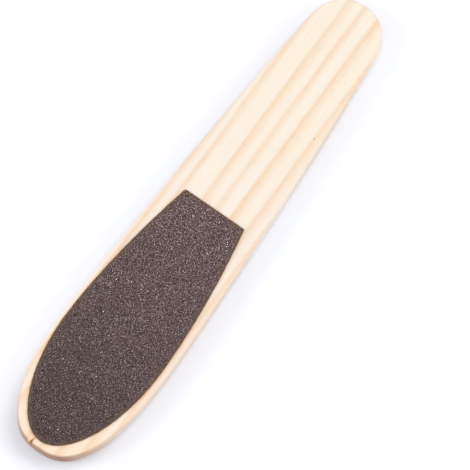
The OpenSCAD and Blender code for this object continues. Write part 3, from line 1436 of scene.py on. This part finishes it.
    def flat_map(self, points: Array, faces: list[Array]) -> list[Array]:
        """Lays the coat's faces out flat: the top, the underside beside it, and the wall as a strip.

        Args:
            points: The coat's points.
            faces: Its quads, its wall and its underside.

        Returns:
            For each of the three the places of its corners, from 0 to 1 both ways.
        """
        gap, strip_height = 0.01, 0.02
        quads, wall, underside = faces
        flat = points[:, :2] - points[:, :2].min(axis=0)
        flat = flat * (1 - 2 * gap) / np.ptp(points[:, 0]) + gap
        height = flat[:, 1].max()
        number = np.arange(len(wall))[:, None] + [[0, 1, 1, 0]]
        up = strip_height * np.tile([0, 0, 1, 1], (len(wall), 1)) + 2 * height + 2 * gap
        strip = np.stack([number / len(wall) * (1 - 2 * gap) + gap, up], axis=-1)
        return [flat[quads], strip, flat[underside] + [0, height]]

    def slab(self, layer: str, inset: float, stray: Array, bulge: Array) -> Skin:
        """Works out a thin layer with an uneven edge.

        The first parameter runs round the edge and the second up the wall, each ring drawn in by the
        layer's own stray at that point and by the wall's bulge. Two flat faces close it.

        Args:
            layer: The end of the CAD node's name.
            inset: How far the layer is drawn in from the sheet's edge.
            stray: How far each point of the edge is drawn in further.
            bulge: For each ring from the lowest, how far it is drawn in further.

        Returns:
            The layer's surface.
        """
        loop = replace(self.plan, inset=inset).loop()
        drawn_in = bulge[:, None] + stray[: len(loop)]
        rings = loop + inward(loop) * drawn_in[..., None]
        z = np.linspace(*self.span(layer), len(bulge))[:, None] + 0 * drawn_in
        number = np.arange(z.size).reshape(z.shape)
        points = np.concatenate([rings, z[..., None]], axis=-1).reshape(-1, 3)
        return Skin(points, [ring_quads(number), number[:1, ::-1], number[-1:]])

    def edge_noise(self, seed: int, smooth: int) -> Array:
        """Makes numbers of 0 to 1 round an edge, each the mean of as many random ones as smooth says."""
        raw = np.random.default_rng(seed).random(self.edge_numbers)
        blurred = np.convolve(raw, np.ones(smooth) / smooth, mode="same")
        return (blurred - blurred.min()) / np.ptp(blurred)

    def backing(self) -> Skin:
        """Works out the paper backing, whose die-cut edge is rough and a little hollow.

        Returns:
            The backing's surface.
        """
        stray = self.burr * self.edge_noise(self.coating.grains.seed + 2, smooth=3)
        skin = self.slab("backing", 0.0, stray, np.array(self.hollow))
        return replace(skin, on_faces={"cut_share": np.append(np.ones(len(skin.faces[0])), [0, 0])})

    def film(self) -> Skin:
        """Works out the film of glue, which was pressed out unevenly towards the backing's edge.

        Returns:
            The film's surface.
        """
        both_ways = self.edge_noise(self.coating.grains.seed + 3, smooth=14) - 0.5
        stray = both_ways * self.pressed * self.glue_margin
        return self.slab("adhesive", self.glue_margin, stray, -np.array(self.hollow))

    def build(self) -> None:
        """Makes the three layers, dressed, in place of their CAD nodes."""
        layers = {
            "adhesive": (self.film(), "glue_film", GlueFinish().make(), "glue", 40),
            "backing": (self.backing(), "backing_paper", BackingFinish().make(), "backing_paper", 40),
            "grit_coat": (self.coat(), "grit", self.coating.finish.make(), self.coating.slot, None),
        }
        for layer, (skin, name, finish, slot, smooth_below) in layers.items():
            skin = skin.turned_over() if self.side is Side.REAR else skin
            piece = skin.make(f"{self.side.value}_{name}", finish, smooth_below)
            fitted(piece, f"{self.side.value}_{layer}")


def fitted(piece: bpy.types.Object, node: str) -> None:
    """Makes a piece ride on the body in place of a CAD node, and reports it.

    Args:
        piece: The piece.
        node: The CAD node that it stands for.
    """
    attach(piece, BODY)
    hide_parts(node)
    mesh = piece.data
    mesh.calc_loop_triangles()
    log.info("%s stands for %s: %d triangles", piece.name, node, len(mesh.loop_triangles))


@dataclass(frozen=True)
class SoftBox:
    """A square area light that faces the middle of the file.

    Attributes:
        name: Its name.
        towards, away: Direction and distance from the file to the light.
        power: Its power in watts.
        side: Length of its sides.
    """

    name: str
    towards: tuple[float, float, float]
    power: float
    away: float = 1.6
    side: float = 0.8

    def build(self) -> None:
        """Makes the light."""
        data = bpy.data.lights.new(self.name, "AREA")
        data.shape = "SQUARE"
        data.size = self.side
        data.energy = self.power
        light = bpy.data.objects.new(self.name, data)
        direction = Vector(self.towards).normalized()
        turn = direction.to_track_quat("Z", "Y").to_matrix().to_4x4()
        light.matrix_world = Matrix.Translation(direction * self.away) @ turn
        light.visible_camera = False
        bpy.context.scene.collection.objects.link(light)


@dataclass(frozen=True)
class Studio:
    """The camera, the lights and the pale floor.

    The camera looks along a fixed direction from far away. It is moved sideways so that the middle of
    the board's front face falls on its place in the picture.

    Attributes:
        azimuth, elevation: Where the camera stands round the file and over the horizon, in degrees.
        distance: From the board's middle to the camera.
        clip: Nearest and farthest distance that the camera sees.
        focal_px, picture_px: Focal length, and side of the picture, in pixels of the picture.
        middle_px: Place of the board's middle in the picture.
        sensor: Width of the camera's sensor in millimetres.
        floor_side, floor_colour: Length of the floor's sides, and its colour.
        fill: Strength of the even light from all round.
        boxes: The area lights.
    """

    azimuth: float = -54.88
    elevation: float = 72.5
    distance: float = 4.0
    clip: tuple[float, float] = (0.1, 40)
    focal_px: float = 9082
    picture_px: float = 470
    middle_px: tuple[float, float] = (202.5, 225.0)
    sensor: float = 36
    floor_side: float = 12
    floor_colour: Colour = (0.828, 0.845, 0.898)
    fill: float = 0.80
    boxes: tuple[SoftBox, ...] = (
        SoftBox("handle_end_box", towards=(0.697, -0.120, 0.707), power=6.6),
        SoftBox("left_box", towards=(-0.523, 0.740, 0.423), power=10.8),
        SoftBox("right_box", towards=(0.523, -0.740, 0.423), power=9.0),
    )

    def aim(self, target: Vector) -> None:
        """Makes the camera.

        Args:
            target: The point that falls on middle_px.
        """
        a, e = math.radians(self.azimuth), math.radians(self.elevation)
        back = Vector((math.sin(a) * math.cos(e), -math.cos(a) * math.cos(e), math.sin(e)))
        right = Vector((math.cos(a), math.sin(a), 0))
        up = back.cross(right)
        per_pixel = self.distance / self.focal_px
        aside = (self.picture_px / 2 - self.middle_px[0]) * per_pixel
        above = (self.middle_px[1] - self.picture_px / 2) * per_pixel
        data = bpy.data.cameras.new("camera")
        data.sensor_width = self.sensor
        data.lens = self.focal_px / self.picture_px * self.sensor
        data.clip_start, data.clip_end = self.clip
        camera = bpy.data.objects.new("camera", data)
        place = target + right * aside + up * above + back * self.distance
        camera.matrix_world = Matrix.Translation(place) @ Matrix((right, up, back)).transposed().to_4x4()
        bpy.context.scene.collection.objects.link(camera)
        bpy.context.scene.camera = camera

    def floor(self) -> None:
        """Makes the floor, a flat square that the file lies on."""
        corners = self.floor_side / 2 * np.array([[-1, -1, 0], [1, -1, 0], [1, 1, 0], [-1, 1, 0]])
        r = Recipe("pale_floor")
        r.surface(Base_Color=self.floor_colour, Roughness=0.9, Specular_IOR_Level=0.1)
        floor = Skin(corners, [np.array([[0, 1, 2, 3]])]).make("floor", r.material, None)

    def light(self) -> None:
        """Makes the world and the lights."""
        world = bpy.data.worlds.new("even_light")
        world.use_nodes = True
        sky = world.node_tree.nodes["Background"]
        sky.inputs["Color"].default_value = (*WHITE, 1)
        sky.inputs["Strength"].default_value = self.fill
        bpy.context.scene.world = world
        for box in self.boxes:
            box.build()
        bpy.context.scene.view_settings.view_transform = "Standard"
        bpy.context.scene.view_settings.look = "None"

    def build(self, target: Vector) -> None:
        """Makes everything round the file, with the camera aimed by the target point.

        Args:
            target: The middle of the board's front face.
        """
        self.aim(target)
        self.floor()
        self.light()
        log.info("studio: camera, floor and %d area lights", len(self.boxes))


def main() -> None:
    """Builds the studio, the board and the two sheets."""
    logging.basicConfig(level=logging.INFO, format="%(name)s: %(message)s")
    low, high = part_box("wooden_paddle")
    board = BoardPlan(tip_x=low.x, length=high.x - low.x, width=high.y - low.y)
    Studio().build(Vector(((low.x + high.x) / 2, 0, high.z)))
    WoodenPaddle(board, rear_z=low.z, front_z=high.z).build()

    tip_border, cut_border = 3.1 * MM, 8.4 * MM
    cut_half = float(board.half(np.array(tip_border + SheetPlan.length))) - cut_border
    placing = {Side.FRONT: (-0.6, 0.3 * MM, COARSE), Side.REAR: (0.3, -0.4 * MM, FINE)}
    for side, (turn, slip, coating) in placing.items():
        plan = SheetPlan(low.x + tip_border, 2 * cut_half, math.radians(turn), slip)
        AbrasiveSheet(side, plan, coating).build()


if __name__ == "__main__":
    main()
